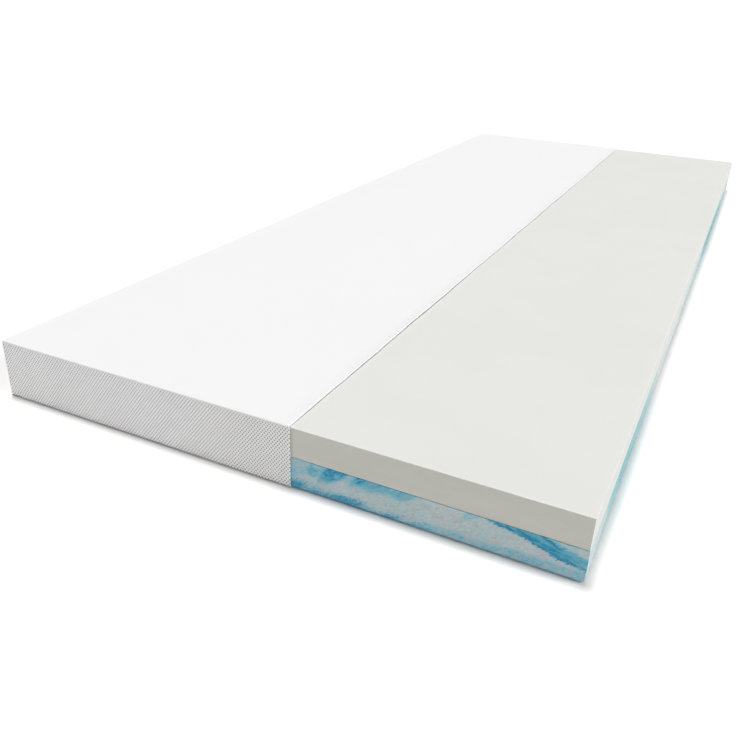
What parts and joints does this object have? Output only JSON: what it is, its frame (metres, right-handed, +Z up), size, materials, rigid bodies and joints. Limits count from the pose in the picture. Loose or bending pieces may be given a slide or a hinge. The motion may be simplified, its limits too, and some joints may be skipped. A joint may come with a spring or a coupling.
{
  "type": "foam mattress",
  "caption": "Two-layer foam mattress, cream slab on marbled slab, with a zipped knitted half cover that slides off sideways.",
  "frame": {"origin": "on the floor, under the middle of the foam core", "axes": "+X towards the bare foam side, +Y towards the head end, +Z up"},
  "size_m": [0.8069, 2.0046, 0.0848],
  "materials": {
    "cream_foam": "matte",
    "marbled_foam": "matte",
    "glue": "satin",
    "top_knit": "matte",
    "plain_cloth": "matte",
    "air_mesh": "matte",
    "thread": "matte",
    "zip_tape": "matte",
    "zip_coil": "satin",
    "zip_metal": "satin"
  },
  "bodies": {
    "core": {"support_layer": "marbled_foam", "bond_film": "glue", "comfort_layer": "cream_foam"},
    "cover": {"cover_top_panel": "top_knit", "cover_bottom_panel": "plain_cloth", "border_front": "air_mesh", "border_rear": "air_mesh", "border_left_upper": "air_mesh", "border_left_lower": "air_mesh", "seam_top_front": "thread", "seam_top_rear": "thread", "seam_top_left": "thread", "seam_bottom_front": "thread", "seam_bottom_rear": "thread", "seam_bottom_left": "thread", "seam_corner_front": "thread", "seam_corner_rear": "thread", "zip_end_patch_front": "plain_cloth", "zip_end_patch_rear": "plain_cloth", "zip_tape_upper": "zip_tape", "zip_tape_lower": "zip_tape", "zip_coil_upper": "zip_coil", "zip_coil_lower": "zip_coil", "zip_top_stop_upper": "zip_metal", "zip_top_stop_lower": "zip_metal", "zip_bottom_stop": "zip_metal"},
    "zip_slider": {"zip_slider": "zip_metal"},
    "pull_tab": {"zip_pull_tab": "zip_metal"}
  },
  "joints": [
    {"name": "cover_pull_off", "type": "slide", "parent": "core", "child": "cover", "axis": [-1, 0, 0], "range_m": [0, 0.5]},
    {"name": "zip_travel", "type": "slide", "parent": "cover", "child": "zip_slider", "axis": [0, 1, 0], "range_m": [0, 1.87]},
    {"name": "pull_tab_swing", "type": "hinge", "parent": "zip_slider", "child": "pull_tab", "pos_m": [-0.4053, -0.935, 0.02], "axis": [0, 0, 1], "range_deg": [0, 170]}
  ]
}
